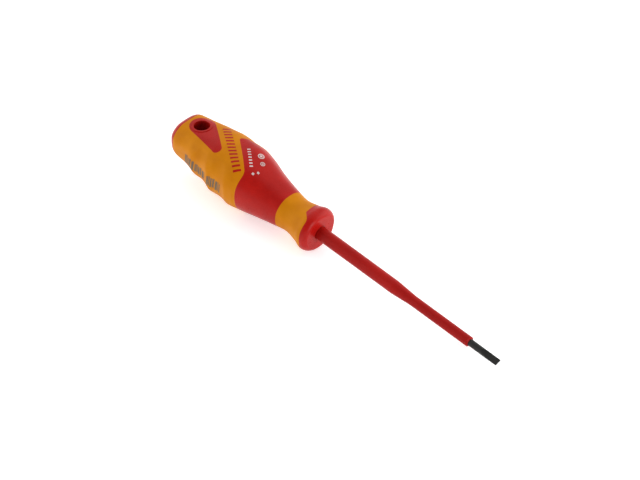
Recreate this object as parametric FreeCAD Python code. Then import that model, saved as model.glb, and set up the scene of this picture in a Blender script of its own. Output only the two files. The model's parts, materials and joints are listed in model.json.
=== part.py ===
import FreeCAD, Part
import math
import os

# An insulated slot screwdriver, lying along the X axis.  Millimetres.
# The origin is the middle of the blade's end face.  +X points out of the
# blade, +Z points out of the hang hole, and the handle is at negative X.

# ---------------------------------------------------------------- driving sizes
BLADE_LENGTH = 100.0        # blade end to the handle's front face
HANDLE_LENGTH = 78.8        # front face to butt face

TIP_WIDTH = 3.0             # slot tip 0.5 x 3.0
TIP_THICKNESS = 0.5
TIP_FLAT_LENGTH = 2.5       # parallel part of the tip
TIP_GRIND_LENGTH = 9.0      # where the grinding runs out into the round rod
TIP_ROLL = 21.0             # turn of the tip about X, in degrees
EXPOSED_LENGTH = 15.6       # bare steel ahead of the insulation

FRONT_SHANK_RADIUS = TIP_WIDTH / 2    # the tip is as wide as the rod it is ground from
REAR_SHANK_RADIUS = 2.0     # steel under the sleeve's thick stage and in the handle
SHANK_IN_HANDLE = 52.0
WING_SPAN = 8.4             # forged wings that stop the blade turning
WING_THICKNESS = 1.8
WING_LENGTH = 12.0
WING_FROM_FACE = 30.0

THIN_SLEEVE_RADIUS = 2.2
THICK_SLEEVE_RADIUS = 2.9
SLEEVE_STEP_FRONT = 47.5    # where the sleeve starts to thicken, from the tip
SLEEVE_STEP_LENGTH = 10.5
SLEEVE_IN_HANDLE = 12.0
SLEEVE_EDGE_ROUND = 0.45

WALL = 2.8                  # thickness of the outer shells, where no dish thins them
CORE_FRONT = 2.4            # core's ends, from the front face
CORE_REAR = 76.0

HOLE_RADIUS = 3.4           # hang hole, bored along Z
HOLE_FROM_FACE = 68.4
LINER_RADIUS = 4.2          # outside of the tube that lines the hole
LINER_LIP = 0.25            # how far its rims stand proud of the handle
SLEEVE_GAP = 0.15           # clearance round the sleeve at the front face
SLEEVE_GAP_DEPTH = 1.2

# Distances behind the front face at which the handle's shells meet.
GUARD_SEAM = 2.9
NECK_SEAM = 17.8
GRIP_SEAM = 37.0
BUTT_SEAM = 75.2

# Outlines of the shells' tongues seen from above, as (distance, side, corner
# radius).  The side is along +Y.
GUARD_TONGUE = [
    (1.0, -9.0, 0), (2.9, -9.0, 0), (2.9, -5.6, 2.4), (6.5, -2.4, 1.2),
    (7.3, 5.8, 1.2), (2.9, 8.0, 1.5), (2.9, 9.4, 0), (1.0, 9.4, 0),
]
BODY_TONGUE = [
    (33.0, -14.0, 0), (37.0, -14.0, 0), (37.0, -7.1, 3.0), (51.8, 4.6, 1.2),
    (49.6, 7.6, 1.2), (39.0, 10.6, 1.5), (37.0, 12.0, 0), (33.0, 14.0, 0),
]
# The panel round the hang hole is a wide arc and a narrow one joined by
# straight sides: (distance, side, radius) of each.
PANEL_REAR_ARC = (HOLE_FROM_FACE, 0.4, 5.4)
PANEL_FRONT_ARC = (53.9, -6.2, 2.0)

FRONT_ROUND_LENGTH = 3.3    # front edge, from the flat face to the crown
FRONT_FACE_SHARE = 0.745    # flat face radius over crown radius
BUTT_ROUND_FROM = 74.8
BUTT_FACE_SHARE = 0.45
EDGE_FULLNESS = 0.985       # share of a quarter ellipse in both roundings

# ------------------------------------------------------------- handle's outside
# (distance behind the front face, radius at the lobes)
LOBE_TRACK = [
    (0.0, 9.8), (3.3, 9.8), (6.5, 8.8), (13.2, 7.6), (20.6, 8.7),
    (29.4, 10.65), (38.1, 13.2), (43.5, 14.1), (53.1, 14.0), (60.6, 12.95),
    (70.6, 11.1), (78.8, 9.75),
]
# The lower half is rounder and smaller: its radius over the lobe radius.
LOWER_SHARE = [
    (0.0, 1.0), (20.0, 1.0), (30.0, 0.97), (38.0, 0.915), (50.0, 0.90), (60.0, 0.865),
    (78.8, 0.84),
]
LOWER_FROM = 55.0           # degrees from the top over which it takes hold
LOWER_TO = 122.0
# Facet distance over lobe radius: the flat on top and the two finger sides.
TOP_SHARE = [(0.0, 1.0), (17.0, 1.0), (38.0, 0.95), (55.0, 0.92), (78.8, 0.92)]
SIDE_SHARE = [(0.0, 1.0), (20.0, 1.0), (38.0, 0.94), (55.0, 0.89), (78.8, 0.86)]
SIDE_ANGLE = 98.0           # facet direction, in degrees from the top
CORNER_POWER = 20.0         # how tightly the facets turn into the lobes

# Shallow oval dishes for the fingers, on both sides: (distance, depth)
DISHES = [(47.6, 0.9), (57.9, 1.1), (68.4, 0.5)]
DISH_ANGLE = 98.0           # direction of their middles, in degrees from the top
DISH_HALF_ANGLE = 58.0
DISH_HALF_LENGTH = 5.3

SECTION_POINTS = 72
SECTION_STEP = 1.4


def track(fixed, d):
    """Smooth curve through (distance, value) pairs, with no overshoot."""
    if d <= fixed[0][0]:
        return fixed[0][1]
    if d >= fixed[-1][0]:
        return fixed[-1][1]
    slopes = [(b[1] - a[1]) / (b[0] - a[0]) for a, b in zip(fixed, fixed[1:])]
    tangents = [slopes[0]]
    for before, after in zip(slopes, slopes[1:]):
        same_way = before * after > 0
        tangents.append(2 * before * after / (before + after) if same_way else 0.0)
    tangents.append(slopes[-1])
    for i, (a, b) in enumerate(zip(fixed, fixed[1:])):
        if d <= b[0]:
            span = b[0] - a[0]
            t = (d - a[0]) / span
            return (
                a[1] * (1 + 2 * t) * (1 - t) ** 2
                + tangents[i] * span * t * (1 - t) ** 2
                + b[1] * t * t * (3 - 2 * t)
                + tangents[i + 1] * span * t * t * (t - 1)
            )


def dish_depth(d, angle):
    """How deep the finger dishes cut at a distance behind the face and an angle."""
    around = (abs((angle + 180) % 360 - 180) - DISH_ANGLE) / DISH_HALF_ANGLE
    depth = 0.0
    for middle, deepest in DISHES:
        along = (d - middle) / DISH_HALF_LENGTH
        depth += deepest * max(0.0, 1 - along**2 - around**2)
    return depth


def end_rounding(d):
    """Share of the full section left by the rounded front edge and butt edge."""
    if d < FRONT_ROUND_LENGTH:
        back = EDGE_FULLNESS * (FRONT_ROUND_LENGTH - d) / FRONT_ROUND_LENGTH
        return FRONT_FACE_SHARE + (1 - FRONT_FACE_SHARE) * math.sqrt(1 - back**2)
    if d > BUTT_ROUND_FROM:
        past = EDGE_FULLNESS * (d - BUTT_ROUND_FROM) / (HANDLE_LENGTH - BUTT_ROUND_FROM)
        return BUTT_FACE_SHARE + (1 - BUTT_FACE_SHARE) * math.sqrt(1 - past**2)
    return 1.0


def handle_radius(d, angle):
    """Radius of the handle before the dishes.  The angle is in degrees from the top."""
    lobe = track(LOBE_TRACK, d)
    from_top = abs((angle + 180) % 360 - 180)
    lower = min(1.0, max(0.0, (from_top - LOWER_FROM) / (LOWER_TO - LOWER_FROM)))
    lower = lower * lower * (3 - 2 * lower)
    outline = lobe * (1 - lower * (1 - track(LOWER_SHARE, d)))
    side = lobe * track(SIDE_SHARE, d)
    facets = [(0.0, lobe * track(TOP_SHARE, d)), (SIDE_ANGLE, side), (-SIDE_ANGLE, side)]
    total = outline**-CORNER_POWER
    for direction, distance in facets:
        facing = math.cos(math.radians(angle - direction))
        if facing > 0:
            total += (facing / distance) ** CORNER_POWER
    return total ** (-1 / CORNER_POWER) * end_rounding(d)


def section(d, inset=0.0):
    """Closed wire around the handle, inset from its outside.  A deep one has no dishes."""
    points = []
    for i in range(SECTION_POINTS):
        angle = 360.0 * i / SECTION_POINTS + 180.0
        radius = handle_radius(d, angle) - inset
        if inset < WALL:
            radius -= dish_depth(d, angle)
        turn = math.radians(angle)
        points.append(
            FreeCAD.Vector(-BLADE_LENGTH - d, -radius * math.sin(turn), radius * math.cos(turn))
        )
    # Equal parameters on every section keep the lofted surface light.
    steps = [i / SECTION_POINTS for i in range(SECTION_POINTS + 1)]
    curve = Part.BSplineCurve()
    curve.interpolate(Points=points, PeriodicFlag=True, Parameters=steps)
    return Part.Wire([curve.toShape()])


def stations(start, end):
    """Distances at which the loft's sections stand, closer at the rounded ends."""
    steps = 6
    quarter = [math.pi / 2 * i / steps for i in range(1, steps + 1)]
    places = [FRONT_ROUND_LENGTH * (1 - math.cos(turn)) for turn in quarter]
    even = round((BUTT_ROUND_FROM - FRONT_ROUND_LENGTH) / SECTION_STEP)
    stretch = (BUTT_ROUND_FROM - FRONT_ROUND_LENGTH) / even
    places += [FRONT_ROUND_LENGTH + stretch * i for i in range(1, even + 1)]
    rounded = HANDLE_LENGTH - BUTT_ROUND_FROM
    places += [BUTT_ROUND_FROM + rounded * math.sin(turn) for turn in quarter]
    clear = SECTION_STEP / 4
    inner = [d for d in places if start + clear < d < end - clear]
    return [start] + inner + [end]


def lofted(start, end, inset=0.0):
    """Solid between two distances behind the front face."""
    return Part.makeLoft([section(d, inset) for d in stations(start, end)], True, False)


def upright(outline, low, high):
    """Block with the given outline seen from above, its corners rounded."""
    corners = [FreeCAD.Vector(-BLADE_LENGTH - d, y, low) for d, y, _ in outline]
    edges = []
    last = None
    for i, (_, _, radius) in enumerate(outline):
        corner = corners[i]
        back = (corners[i - 1] - corner).normalize()
        ahead = (corners[(i + 1) % len(corners)] - corner).normalize()
        start, end = corner, corner
        if radius:
            half = back.getAngle(ahead) / 2
            start = corner + back * (radius / math.tan(half))
            end = corner + ahead * (radius / math.tan(half))
            bisector = (back + ahead).normalize()
            middle = corner + bisector * (radius / math.sin(half) - radius)
            edges.append(Part.Arc(start, middle, end).toShape())
        if last:
            edges.append(Part.makeLine(last, start))
        else:
            first = start
        last = end
    edges.append(Part.makeLine(last, first))
    face = Part.Face(Part.Wire(Part.__sortEdges__(edges)))
    return face.extrude(FreeCAD.Vector(0, 0, high - low))


def disc_along_x(x, radius, length):
    """Cylinder running back from x."""
    return Part.makeCylinder(radius, length, FreeCAD.Vector(x, 0, 0), FreeCAD.Vector(-1, 0, 0))


def turned(profile):
    """Solid turned about the X axis from (x, radius) points that start and end on it."""
    points = [FreeCAD.Vector(x, 0, radius) for x, radius in profile]
    face = Part.Face(Part.makePolygon(points + points[:1]))
    return face.revolve(FreeCAD.Vector(0, 0, 0), FreeCAD.Vector(1, 0, 0), 360)


def slot_tip():
    """Bare front of the blade: round rod ground on both sides to a flat end."""
    rod = disc_along_x(0.0, FRONT_SHANK_RADIUS, TIP_GRIND_LENGTH + 2.0)
    half = TIP_THICKNESS / 2
    swell = FRONT_SHANK_RADIUS - half
    reach = FRONT_SHANK_RADIUS + 1.0
    grind = TIP_GRIND_LENGTH
    for side in (1, -1):
        start = FreeCAD.Vector(1.0, -reach, side * half)
        end_of_flat = FreeCAD.Vector(-TIP_FLAT_LENGTH, -reach, side * half)
        middle_height = half + swell * 0.28
        middle = FreeCAD.Vector(-(TIP_FLAT_LENGTH + grind) / 2, -reach, side * middle_height)
        top = FreeCAD.Vector(-grind, -reach, side * FRONT_SHANK_RADIUS)
        far = FreeCAD.Vector(-grind, -reach, side * reach)
        near = FreeCAD.Vector(1.0, -reach, side * reach)
        edges = [
            Part.makeLine(start, end_of_flat),
            Part.Arc(end_of_flat, middle, top).toShape(),
            Part.makeLine(top, far),
            Part.makeLine(far, near),
            Part.makeLine(near, start),
        ]
        wheel = Part.Face(Part.Wire(edges)).extrude(FreeCAD.Vector(0, 2 * reach, 0))
        rod = rod.cut(wheel)
    rod.rotate(FreeCAD.Vector(0, 0, 0), FreeCAD.Vector(1, 0, 0), TIP_ROLL)
    return rod


def blade():
    """Steel blade: slot tip, stepped shank, and wings that lock it in the handle."""
    front = turned([
        (-TIP_GRIND_LENGTH - 1.0, 0.0),
        (-TIP_GRIND_LENGTH - 1.0, FRONT_SHANK_RADIUS),
        (-SLEEVE_STEP_FRONT, FRONT_SHANK_RADIUS),
        (-SLEEVE_STEP_FRONT - 5.0, REAR_SHANK_RADIUS),
        (-BLADE_LENGTH - SHANK_IN_HANDLE + 0.6, REAR_SHANK_RADIUS),
        (-BLADE_LENGTH - SHANK_IN_HANDLE, REAR_SHANK_RADIUS - 0.6),
        (-BLADE_LENGTH - SHANK_IN_HANDLE, 0.0),
    ])
    wings = Part.makeBox(
        WING_LENGTH,
        WING_SPAN,
        WING_THICKNESS,
        FreeCAD.Vector(
            -BLADE_LENGTH - WING_FROM_FACE - WING_LENGTH, -WING_SPAN / 2, -WING_THICKNESS / 2
        ),
    )
    ends = [e for e in wings.Edges if abs(e.BoundBox.ZLength - WING_THICKNESS) < 1e-6]
    wings = wings.makeFillet(1.2, ends)
    return slot_tip().fuse([front, wings]).removeSplitter()


def blade_sleeve():
    """Insulation moulded on the shank: slim at the front, thicker at the handle."""
    skin = turned([
        (-EXPOSED_LENGTH, 0.0),
        (-EXPOSED_LENGTH, THIN_SLEEVE_RADIUS - SLEEVE_EDGE_ROUND),
        (-EXPOSED_LENGTH - SLEEVE_EDGE_ROUND, THIN_SLEEVE_RADIUS),
        (-SLEEVE_STEP_FRONT, THIN_SLEEVE_RADIUS),
        (-SLEEVE_STEP_FRONT - SLEEVE_STEP_LENGTH, THICK_SLEEVE_RADIUS),
        (-BLADE_LENGTH - SLEEVE_IN_HANDLE, THICK_SLEEVE_RADIUS),
        (-BLADE_LENGTH - SLEEVE_IN_HANDLE, 0.0),
    ])
    return skin


def panel_block():
    """Upright block that cuts the panel round the hang hole out of the top."""
    rear_d, rear_y, rear_radius = PANEL_REAR_ARC
    front_d, front_y, front_radius = PANEL_FRONT_ARC
    rear = FreeCAD.Vector(-BLADE_LENGTH - rear_d, rear_y, 0)
    front = FreeCAD.Vector(-BLADE_LENGTH - front_d, front_y, 0)
    gap = front - rear
    heading = math.atan2(gap.y, gap.x)
    spread = math.acos((rear_radius - front_radius) / gap.Length)
    sides = []
    for turn in (heading + spread, heading - spread):
        out = FreeCAD.Vector(math.cos(turn), math.sin(turn), 0)
        sides.append((rear + out * rear_radius, front + out * front_radius))
    far, near = sides
    beyond_front = front + (front - rear).normalize() * front_radius
    beyond_rear = rear + (rear - front).normalize() * rear_radius
    edges = [
        Part.makeLine(far[0], far[1]),
        Part.Arc(far[1], beyond_front, near[1]).toShape(),
        Part.makeLine(near[1], near[0]),
        Part.Arc(near[0], beyond_rear, far[0]).toShape(),
    ]
    return Part.Face(Part.Wire(edges)).extrude(FreeCAD.Vector(0, 0, 20.0))


def hole_column(radius):
    """Column along Z through the hang hole."""
    place = FreeCAD.Vector(-BLADE_LENGTH - HOLE_FROM_FACE, 0, -20.0)
    return Part.makeCylinder(radius, 40.0, place)


def hang_hole_liner():
    """Tube through the handle at the hang hole, its rims standing slightly proud."""
    proud = lofted(HOLE_FROM_FACE - 8.0, HOLE_FROM_FACE + 6.5, -LINER_LIP)
    tube = proud.common(hole_column(LINER_RADIUS)).cut(hole_column(HOLE_RADIUS))
    return tube


def write(node, solid):
    if solid.ShapeType == "Compound" and len(solid.Solids) == 1:
        solid = solid.Solids[0]
    solid.exportStep("parts/" + node + ".step")


os.makedirs("parts", exist_ok=True)

steel = blade()
sleeve = blade_sleeve().cut(steel)

filling = lofted(CORE_FRONT, CORE_REAR, WALL)
sleeve_bore = disc_along_x(-BLADE_LENGTH + 1.0, THICK_SLEEVE_RADIUS, 1.0 + SLEEVE_IN_HANDLE)
sleeve_mouth = disc_along_x(
    -BLADE_LENGTH + 1.0, THICK_SLEEVE_RADIUS + SLEEVE_GAP, 1.0 + SLEEVE_GAP_DEPTH
)
liner_bore = hole_column(LINER_RADIUS)

# The outer layer, one stretch between each two seams.
guard_stretch = lofted(0.0, GUARD_SEAM).cut(filling).cut(sleeve_bore).cut(sleeve_mouth)
neck_stretch = lofted(GUARD_SEAM, NECK_SEAM).cut(filling)
body_stretch = lofted(NECK_SEAM, GRIP_SEAM).cut(filling)
grip_stretch = lofted(GRIP_SEAM, BUTT_SEAM).cut(filling).cut(liner_bore)
butt_stretch = lofted(BUTT_SEAM, HANDLE_LENGTH).cut(filling)

guard_tongue = upright(GUARD_TONGUE, -20.0, 20.0)
body_tongue = upright(BODY_TONGUE, 0.0, 20.0)
panel = panel_block()

write("blade", steel)
write("blade_sleeve", sleeve)
write("handle_core", filling.cut(liner_bore).cut(sleeve_bore).cut(steel))
write("front_guard", guard_stretch.fuse(neck_stretch.common(guard_tongue)))
write("neck_ring", neck_stretch.cut(guard_tongue))
write("body_shell", body_stretch.fuse(grip_stretch.common(body_tongue)))
write("rear_grip", grip_stretch.cut(body_tongue).cut(panel))
write("hole_panel", grip_stretch.common(panel))
write("hang_hole_liner", hang_hole_liner())
write("butt_cap", butt_stretch)
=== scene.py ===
import json
import math

import bpy
from mathutils import Matrix, Vector

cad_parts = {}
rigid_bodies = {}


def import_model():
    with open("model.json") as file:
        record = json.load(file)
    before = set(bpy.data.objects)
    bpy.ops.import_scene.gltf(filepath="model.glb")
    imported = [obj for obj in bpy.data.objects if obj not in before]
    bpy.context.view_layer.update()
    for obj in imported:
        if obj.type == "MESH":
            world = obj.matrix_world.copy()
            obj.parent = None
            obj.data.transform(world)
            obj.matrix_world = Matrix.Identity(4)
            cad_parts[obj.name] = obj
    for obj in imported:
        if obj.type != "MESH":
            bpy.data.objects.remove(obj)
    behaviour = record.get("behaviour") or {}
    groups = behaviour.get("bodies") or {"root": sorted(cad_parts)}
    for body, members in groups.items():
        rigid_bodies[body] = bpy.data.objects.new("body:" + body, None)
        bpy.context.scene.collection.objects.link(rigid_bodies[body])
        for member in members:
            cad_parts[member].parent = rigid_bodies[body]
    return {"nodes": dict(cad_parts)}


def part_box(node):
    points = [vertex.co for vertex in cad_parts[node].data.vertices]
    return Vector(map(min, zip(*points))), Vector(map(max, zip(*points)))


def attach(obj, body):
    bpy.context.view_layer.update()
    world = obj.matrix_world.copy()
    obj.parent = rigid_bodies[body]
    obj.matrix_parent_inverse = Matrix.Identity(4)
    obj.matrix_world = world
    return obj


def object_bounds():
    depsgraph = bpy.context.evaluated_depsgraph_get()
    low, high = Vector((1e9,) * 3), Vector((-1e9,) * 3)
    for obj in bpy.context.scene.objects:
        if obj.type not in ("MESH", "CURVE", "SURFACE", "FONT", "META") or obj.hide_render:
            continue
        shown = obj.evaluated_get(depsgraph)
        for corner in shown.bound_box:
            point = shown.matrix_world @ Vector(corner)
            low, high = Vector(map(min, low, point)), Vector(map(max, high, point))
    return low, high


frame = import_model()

cad_low, cad_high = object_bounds()
nodes = frame["nodes"]
mm = 0.001

# ---------------------------------------------------------------- blade
# A round steel rod, ground on two sides to a narrow flat tip and given a
# black oxide finish.  Only its last 15 mm stand out of the insulation.


def hex_colour(text):
    """Linear colour from an sRGB hex string."""
    channels = [int(text[i : i + 2], 16) / 255 for i in (0, 2, 4)]
    linear = [c / 12.92 if c <= 0.04045 else ((c + 0.055) / 1.055) ** 2.4 for c in channels]
    return linear + [1.0]


def new_material(name):
    """Node material holding only a Principled shader and its output."""
    material = bpy.data.materials.new(name)
    material.use_nodes = True
    return material, material.node_tree.nodes["Principled BSDF"]


def add_node(material, kind, settings=(), links=()):
    """Adds a node, sets its properties and sockets, and links its inputs."""
    node = material.node_tree.nodes.new(kind)
    for key, value in dict(settings).items():
        if hasattr(node, key):
            setattr(node, key, value)
        else:
            node.inputs[key].default_value = value
    for key, source in dict(links).items():
        material.node_tree.links.new(source, node.inputs[key])
    return node


def link(material, source, target):
    material.node_tree.links.new(source, target)


def dress(node_name, material):
    """Gives a CAD node its material, in every slot."""
    node = nodes[node_name]
    node.data.materials.clear()
    node.data.materials.append(material)


def object_position(material, scale=(1, 1, 1)):
    """Object coordinates in metres, stretched by scale."""
    place = add_node(material, "ShaderNodeTexCoord")
    links = {"Vector": place.outputs["Object"]}
    return add_node(material, "ShaderNodeMapping", {"Scale": scale}, links).outputs[0]


def mixed_colour(material, factor, dark, light):
    """Blend of two sRGB hex colours, linked to the shader's base colour."""
    colour = add_node(material, "ShaderNodeMix", {"data_type": "RGBA"}, {"Factor": factor})
    colour.inputs[6].default_value = hex_colour(dark)
    colour.inputs[7].default_value = hex_colour(light)
    shader = material.node_tree.nodes["Principled BSDF"]
    link(material, colour.outputs[2], shader.inputs["Base Color"])


def black_steel():
    """Black oxide with fine grinding lines along the rod and cloudy patches."""
    material, shader = new_material("black_oxide_steel")
    shader.inputs["Metallic"].default_value = 0.35
    shader.inputs["Specular IOR Level"].default_value = 0.3
    grind = object_position(material, (300, 6000, 6000))
    lines = add_node(
        material, "ShaderNodeTexNoise", {"Scale": 1.0, "Detail": 3.0}, {"Vector": grind}
    )
    cloud = add_node(
        material,
        "ShaderNodeTexNoise",
        {"Scale": 700.0, "Detail": 4.0},
        {"Vector": object_position(material)},
    )
    mixed_colour(material, cloud.outputs["Fac"], "121211", "262624")
    rough = add_node(
        material,
        "ShaderNodeMapRange",
        {"To Min": 0.38, "To Max": 0.6},
        {"Value": lines.outputs["Fac"]},
    )
    link(material, rough.outputs[0], shader.inputs["Roughness"])
    bump = add_node(
        material,
        "ShaderNodeBump",
        {"Strength": 0.25, "Distance": 0.02 * mm},
        {"Height": lines.outputs["Fac"]},
    )
    link(material, bump.outputs[0], shader.inputs["Normal"])
    return material


dress("blade", black_steel())

# ---------------------------------------------------------------- sleeve
# Red polyamide moulded straight onto the shank in two thicknesses, satin,
# with faint flow lines along its length.


def moulded_plastic(name, dark, light, roughness, grain_mm, grain_depth_mm, stretch=(1, 1, 1)):
    """Moulded plastic: cloudy colour, spark-eroded grain, uneven gloss."""
    material, shader = new_material(name)
    place = object_position(material, stretch)
    cloud = add_node(
        material, "ShaderNodeTexNoise", {"Scale": 160.0, "Detail": 3.0}, {"Vector": place}
    )
    spread = add_node(
        material,
        "ShaderNodeMapRange",
        {"From Min": 0.3, "From Max": 0.7},
        {"Value": cloud.outputs["Fac"]},
    )
    mixed_colour(material, spread.outputs[0], dark, light)
    grain = add_node(
        material,
        "ShaderNodeTexNoise",
        {"Scale": 1 / (grain_mm * mm), "Detail": 2.0, "Roughness": 0.6},
        {"Vector": place},
    )
    gloss = add_node(
        material,
        "ShaderNodeMapRange",
        {"From Min": 0.3, "From Max": 0.7, "To Min": roughness - 0.05, "To Max": roughness + 0.07},
        {"Value": grain.outputs["Fac"]},
    )
    link(material, gloss.outputs[0], shader.inputs["Roughness"])
    bump = add_node(
        material,
        "ShaderNodeBump",
        {"Strength": 0.6, "Distance": grain_depth_mm * mm},
        {"Height": grain.outputs["Fac"]},
    )
    link(material, bump.outputs[0], shader.inputs["Normal"])
    return material, shader


sleeve_red, sleeve_shader = moulded_plastic(
    "red_polyamide", "8e0a07", "a0120c", 0.36, 0.5, 0.02, (0.25, 1, 1)
)
sleeve_shader.inputs["Specular IOR Level"].default_value = 0.09
dress("blade_sleeve", sleeve_red)

# ---------------------------------------------------------------- hard handle parts
# Red polypropylene, semi-gloss with a fine moulded grain: collar, front
# body, panel round the hang hole, the hole's liner, rear cap and inner core.

hard_red, hard_shader = moulded_plastic("red_polypropylene", "9c100c", "ab1711", 0.3, 0.35, 0.015)
hard_shader.inputs["Specular IOR Level"].default_value = 0.13
hard_nodes = (
    "front_guard", "body_shell", "hole_panel", "hang_hole_liner", "butt_cap", "handle_core",
)
for name in hard_nodes:
    dress(name, hard_red)

# ---------------------------------------------------------------- soft handle parts
# Yellow-orange soft elastomer moulded over the hard parts: matte, with a
# slightly coarser grain that catches the light softly.

soft_yellow, soft_shader = moulded_plastic("yellow_elastomer", "bb7002", "c67b05", 0.48, 0.3, 0.03)
soft_shader.inputs["Specular IOR Level"].default_value = 0.06
soft_shader.inputs["Sheen Weight"].default_value = 0.02
soft_shader.inputs["Sheen Roughness"].default_value = 0.4
for name in ("neck_ring", "rear_grip"):
    dress(name, soft_yellow)

# ---------------------------------------------------------------- moulded red bars
# A row of plain bars along the slanting yellow band, where the hard red
# plastic shows through the soft one.  Thin tiles laid on the grip's surface.


def start_marks(name):
    """Opens a new empty mesh object for flat marks, in edit mode."""
    bpy.ops.object.select_all(action="DESELECT")
    bpy.ops.mesh.primitive_plane_add(size=0.001)
    marks = bpy.context.object
    marks.name = name
    bpy.ops.object.mode_set(mode="EDIT")
    bpy.ops.mesh.select_all(action="SELECT")
    bpy.ops.mesh.delete(type="VERT")
    return marks


def move_marks(place, turn):
    """Turns the selected mark about the origin and moves it to its place."""
    bpy.ops.transform.rotate(value=-turn, orient_axis="Z", center_override=(0, 0, 0))
    bpy.ops.transform.translate(value=(place[0] * mm, place[1] * mm, 0))


def add_bar(place, length, width, turn=0.0):
    """Adds a bar divided finely enough to bend.  Sizes in mm, turn in radians."""
    cell = 0.4
    bpy.ops.mesh.primitive_grid_add(
        x_subdivisions=math.ceil(length / cell),
        y_subdivisions=max(2, math.ceil(width / cell)),
        size=1.0,
    )
    bpy.ops.transform.resize(value=(length * mm, width * mm, 1), center_override=(0, 0, 0))
    move_marks(place, turn)


def add_ring(place, radius, width):
    """Adds a flat ring.  Sizes in mm."""
    bpy.ops.mesh.primitive_circle_add(vertices=48, radius=radius * mm, fill_type="NOTHING")
    bpy.ops.mesh.extrude_edges_move()
    share = (radius - width) / radius
    bpy.ops.transform.resize(value=(share, share, 1), center_override=(0, 0, 0))
    bpy.ops.mesh.select_linked()
    move_marks(place, 0.0)


def lay_marks(marks, facing, host, material):
    """Presses flat marks onto a CAD node from a direction round X, and thickens them."""
    clear_of_handle = 20 * mm
    bpy.ops.mesh.select_all(action="SELECT")
    bpy.ops.transform.translate(value=(0, 0, clear_of_handle))
    bpy.ops.mesh.remove_doubles(threshold=0.001 * mm)
    bpy.ops.mesh.normals_make_consistent(inside=False)
    bpy.ops.object.mode_set(mode="OBJECT")
    marks.rotation_euler = (facing, 0, 0)
    press = marks.modifiers.new("press", "SHRINKWRAP")
    press.target = nodes[host]
    press.wrap_method = "PROJECT"
    press.use_project_z = True
    press.use_negative_direction = True
    press.use_positive_direction = False
    press.offset = 0.015 * mm
    bpy.ops.object.modifier_apply(modifier="press")
    thicken = marks.modifiers.new("thicken", "SOLIDIFY")
    thicken.thickness = 0.05 * mm
    thicken.offset = 0.0
    bpy.ops.object.modifier_apply(modifier="thicken")
    bpy.ops.object.transform_apply(location=True, rotation=True, scale=True)
    bpy.ops.object.mode_set(mode="EDIT")
    bpy.ops.mesh.select_all(action="SELECT")
    bpy.ops.mesh.normals_make_consistent(inside=False)
    bpy.ops.object.mode_set(mode="OBJECT")
    marks.data.materials.clear()
    marks.data.materials.append(material)
    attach(marks, "root")


# Places of marks are in mm: along X, and across the direction they are pressed from.
row_start = Vector((-140.2, -6.7))
row_end = Vector((-159.6, 6.8))
row_count = 13
rung_length = 3.3
rung_width = 0.85
rung_turn = math.radians(46)
rungs = start_marks("red_rungs")
for i in range(row_count):
    add_bar(row_start.lerp(row_end, i / (row_count - 1)), rung_length, rung_width, rung_turn)
lay_marks(rungs, math.radians(8), "rear_grip", hard_red)

# ---------------------------------------------------------------- white printed marks
# Small plain signs pad-printed in white ink on the body's tongue: a dashed
# line, two diamonds and two ringed dots.

white_ink, _ = moulded_plastic("white_ink", "b9a8a4", "d6c9c6", 0.5, 0.25, 0.01)
signs = start_marks("white_signs")
line_start = Vector((-145.0, 3.7))
line_end = Vector((-136.8, -2.9))
line = line_end - line_start
line_heading = math.atan2(line.y, line.x)
dash_count = 7
for i in range(dash_count):
    place = line_start + line * ((i + 0.5) / dash_count)
    add_bar(place, 1.35, 0.6, line_heading + math.pi / 2)
diamond_side = 0.95
for place in ((-134.5, -4.3), (-133.4, -2.4)):
    add_bar(place, diamond_side, diamond_side, line_heading + math.pi / 4)
ringed_dots = (((-138.7, 4.6), 1.35, 0.4, 1.0), ((-135.4, 2.2), 1.0, 0.32, 0.6))
for place, radius, width, dot_side in ringed_dots:
    add_ring(place, radius, width)
    add_bar(place, dot_side, dot_side, line_heading)
lay_marks(signs, math.radians(3), "body_shell", white_ink)

# ---------------------------------------------------------------- grey printed bars
# Three groups of plain bars of uneven thickness, printed in grey ink round
# the near side of the grip.

grey_ink, _ = moulded_plastic("grey_ink", "4c4435", "625840", 0.6, 0.25, 0.01)
bars = start_marks("grey_bars")
bar_groups = ((-167.4, -161.6, 6.4), (-161.0, -154.2, 5.4), (-152.8, -145.4, 6.2))
bar_widths = (0.35, 0.5, 0.35, 0.65)
bar_gaps = (0.3, 0.25, 0.4)
bar_turn = math.radians(80)
for first, last, length in bar_groups:
    x = first
    i = 0
    while x < last:
        width = bar_widths[i % 4]
        add_bar((x, 0.3 * (i % 3) - 0.3), length, width, bar_turn)
        x += width + bar_gaps[i % 3]
        i += 1
lay_marks(bars, math.radians(94), "rear_grip", grey_ink)

# ---------------------------------------------------------------- floor
# A plain white table top with a painted glow: it gives off light of its own,
# which lightens the tool's shadow on it.  The tool lies on the fullest part of
# its grip and on its collar, so the table is tilted slightly against the blade's axis.

grip_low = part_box("rear_grip")[0].z
guard_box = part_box("front_guard")
grip_rest_x = -0.144
crown_from_face = 3.3 * mm
guard_rest_x = guard_box[1].x - crown_from_face
tilt = math.atan2(guard_box[0].z - grip_low, guard_rest_x - grip_rest_x)
bpy.ops.object.select_all(action="DESELECT")
bpy.ops.mesh.primitive_plane_add(size=6.0)
floor = bpy.context.object
floor.name = "table_top"
clearance = 0.05 * mm
rest_point = Vector((grip_rest_x, 0, grip_low - clearance))
floor.data.transform(Matrix.Translation(rest_point) @ Matrix.Rotation(-tilt, 4, "Y"))
glowing_floor_paint, floor_shader = new_material("white_table_with_painted_glow")
floor_shader.inputs["Base Color"].default_value = 0.85, 0.85, 0.85, 1
# Painted glow: the table gives off light of its own, which fills in the tool's shadow on it.
floor_shader.inputs["Emission Color"].default_value = 1, 1, 1, 1
floor_shader.inputs["Emission Strength"].default_value = 0.5
floor_shader.inputs["Roughness"].default_value = 0.8
floor.data.materials.append(glowing_floor_paint)

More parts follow.
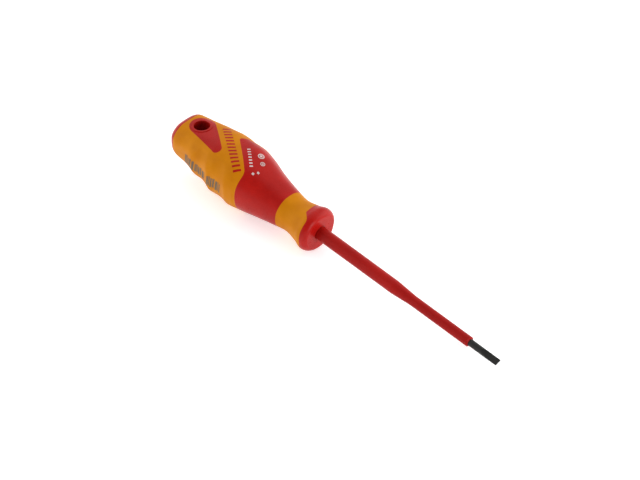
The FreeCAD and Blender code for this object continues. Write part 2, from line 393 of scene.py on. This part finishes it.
# ---------------------------------------------------------------- light
# Soft light from all round, as in a white tent.  Panels to the sides make the
# edges brighter than the faces turned to the viewer, and one lies off the tip.

points_at_viewer = math.radians(28.5)
roll = math.radians(39.0)
back = Vector(
    (
        math.sin(points_at_viewer),
        -math.cos(points_at_viewer) * math.sin(roll),
        math.cos(points_at_viewer) * math.cos(roll),
    )
)
along = (Vector((1, 0, 0)) - math.sin(points_at_viewer) * back) / math.cos(points_at_viewer)
across = along.cross(back)
slope = math.radians(36.2)
right = math.cos(slope) * along - math.sin(slope) * across
up = -math.sin(slope) * along - math.cos(slope) * across

world = bpy.data.worlds.new("white_tent")
bpy.context.scene.world = world
world.use_nodes = True
tent = world.node_tree
sky = tent.nodes["Background"]
sky.inputs["Strength"].default_value = 1.24
direction = tent.nodes.new("ShaderNodeTexCoord")
facing = tent.nodes.new("ShaderNodeVectorMath")
facing.operation = "DOT_PRODUCT"
facing.inputs[1].default_value = back
tent.links.new(direction.outputs["Generated"], facing.inputs[0])
opening = tent.nodes.new("ShaderNodeMapRange")
opening.interpolation_type = "SMOOTHSTEP"
opening.inputs["From Min"].default_value = 0.35
opening.inputs["From Max"].default_value = 0.95
opening.inputs["To Min"].default_value = 1.0
opening.inputs["To Max"].default_value = 0.12
tent.links.new(facing.outputs["Value"], opening.inputs["Value"])
tent.links.new(opening.outputs[0], sky.inputs["Color"])
bpy.context.scene.view_settings.view_transform = "Standard"


def soft_light(name, direction, distance, size, power):
    """Square panel of light that faces the middle of the tool."""
    middle = (cad_low + cad_high) / 2
    light = bpy.data.lights.new(name, "AREA")
    light.size = size
    light.energy = power
    panel = bpy.data.objects.new(name, light)
    panel.location = middle + direction.normalized() * distance
    panel.rotation_mode = "QUATERNION"
    panel.rotation_quaternion = (-direction).to_track_quat("-Z", "Y")
    bpy.context.scene.collection.objects.link(panel)


soft_light("left_panel", -right + 0.35 * up + 0.1 * back, 0.7, 0.6, 1.5)
soft_light("right_panel", right + 0.5 * up + 0.1 * back, 0.7, 0.6, 2.0)
soft_light("tip_panel", Vector((1.0, -0.15, 0.3)), 0.7, 0.35, 2.2)

# ---------------------------------------------------------------- camera
# A long lens well back from the tool, looking down at its tip end.

lens = 900.0
sensor = 36.0
view_width = 255.66 * mm
sleeve_front = Vector((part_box("blade_sleeve")[1].x, 0, 0))
sleeve_front_right = 59.97 * mm
sleeve_front_below = 40.88 * mm
centre = sleeve_front - right * sleeve_front_right + up * sleeve_front_below
distance = view_width * lens / sensor
camera_data = bpy.data.cameras.new("camera")
camera_data.lens = lens
camera_data.sensor_width = sensor
camera = bpy.data.objects.new("camera", camera_data)
turn = Matrix((right, up, back)).transposed().to_4x4()
camera.matrix_world = Matrix.Translation(centre + back * distance) @ turn
camera_data.clip_start = 0.1
camera_data.clip_end = 20.0
bpy.context.scene.collection.objects.link(camera)
bpy.context.scene.camera = camera
